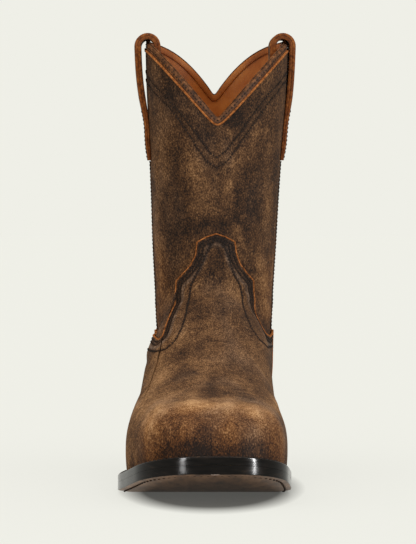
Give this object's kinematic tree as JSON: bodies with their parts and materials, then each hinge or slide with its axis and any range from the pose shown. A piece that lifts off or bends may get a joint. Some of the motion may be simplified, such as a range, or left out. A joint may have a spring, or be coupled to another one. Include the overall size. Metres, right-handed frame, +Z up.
{
  "type": "roper boot",
  "caption": "Pull-on leather roper boot for the right foot: rough-side-out upper, scalloped collar, pull straps, broad toe, welted leather sole and low heel.",
  "frame": {"origin": "middle of the heel's bottom face, on the floor", "axes": "+Z up, -Y towards the toe, +X towards the inner (medial) side of the right foot"},
  "size_m": [0.1194, 0.3097, 0.305],
  "materials": {
    "roughout": "rough flesh side out, brushed, matt",
    "smooth_leather": "smooth grain, satin",
    "insole_board": "smooth, matt",
    "black_edge": "inked and burnished, glossy",
    "sole_leather": "smooth, satin",
    "heel_rubber": "matt"
  },
  "bodies": {
    "root": {"upper": "roughout", "vamp": "roughout", "counter": "roughout", "side_seam_lateral": "roughout", "side_seam_medial": "roughout", "collar_binding": "smooth_leather", "pull_strap_lateral": "smooth_leather", "pull_strap_medial": "smooth_leather", "insole": "insole_board", "welt": "black_edge", "outsole": "sole_leather", "heel_stack": "black_edge", "heel_cap": "heel_rubber"}
  },
  "joints": []
}
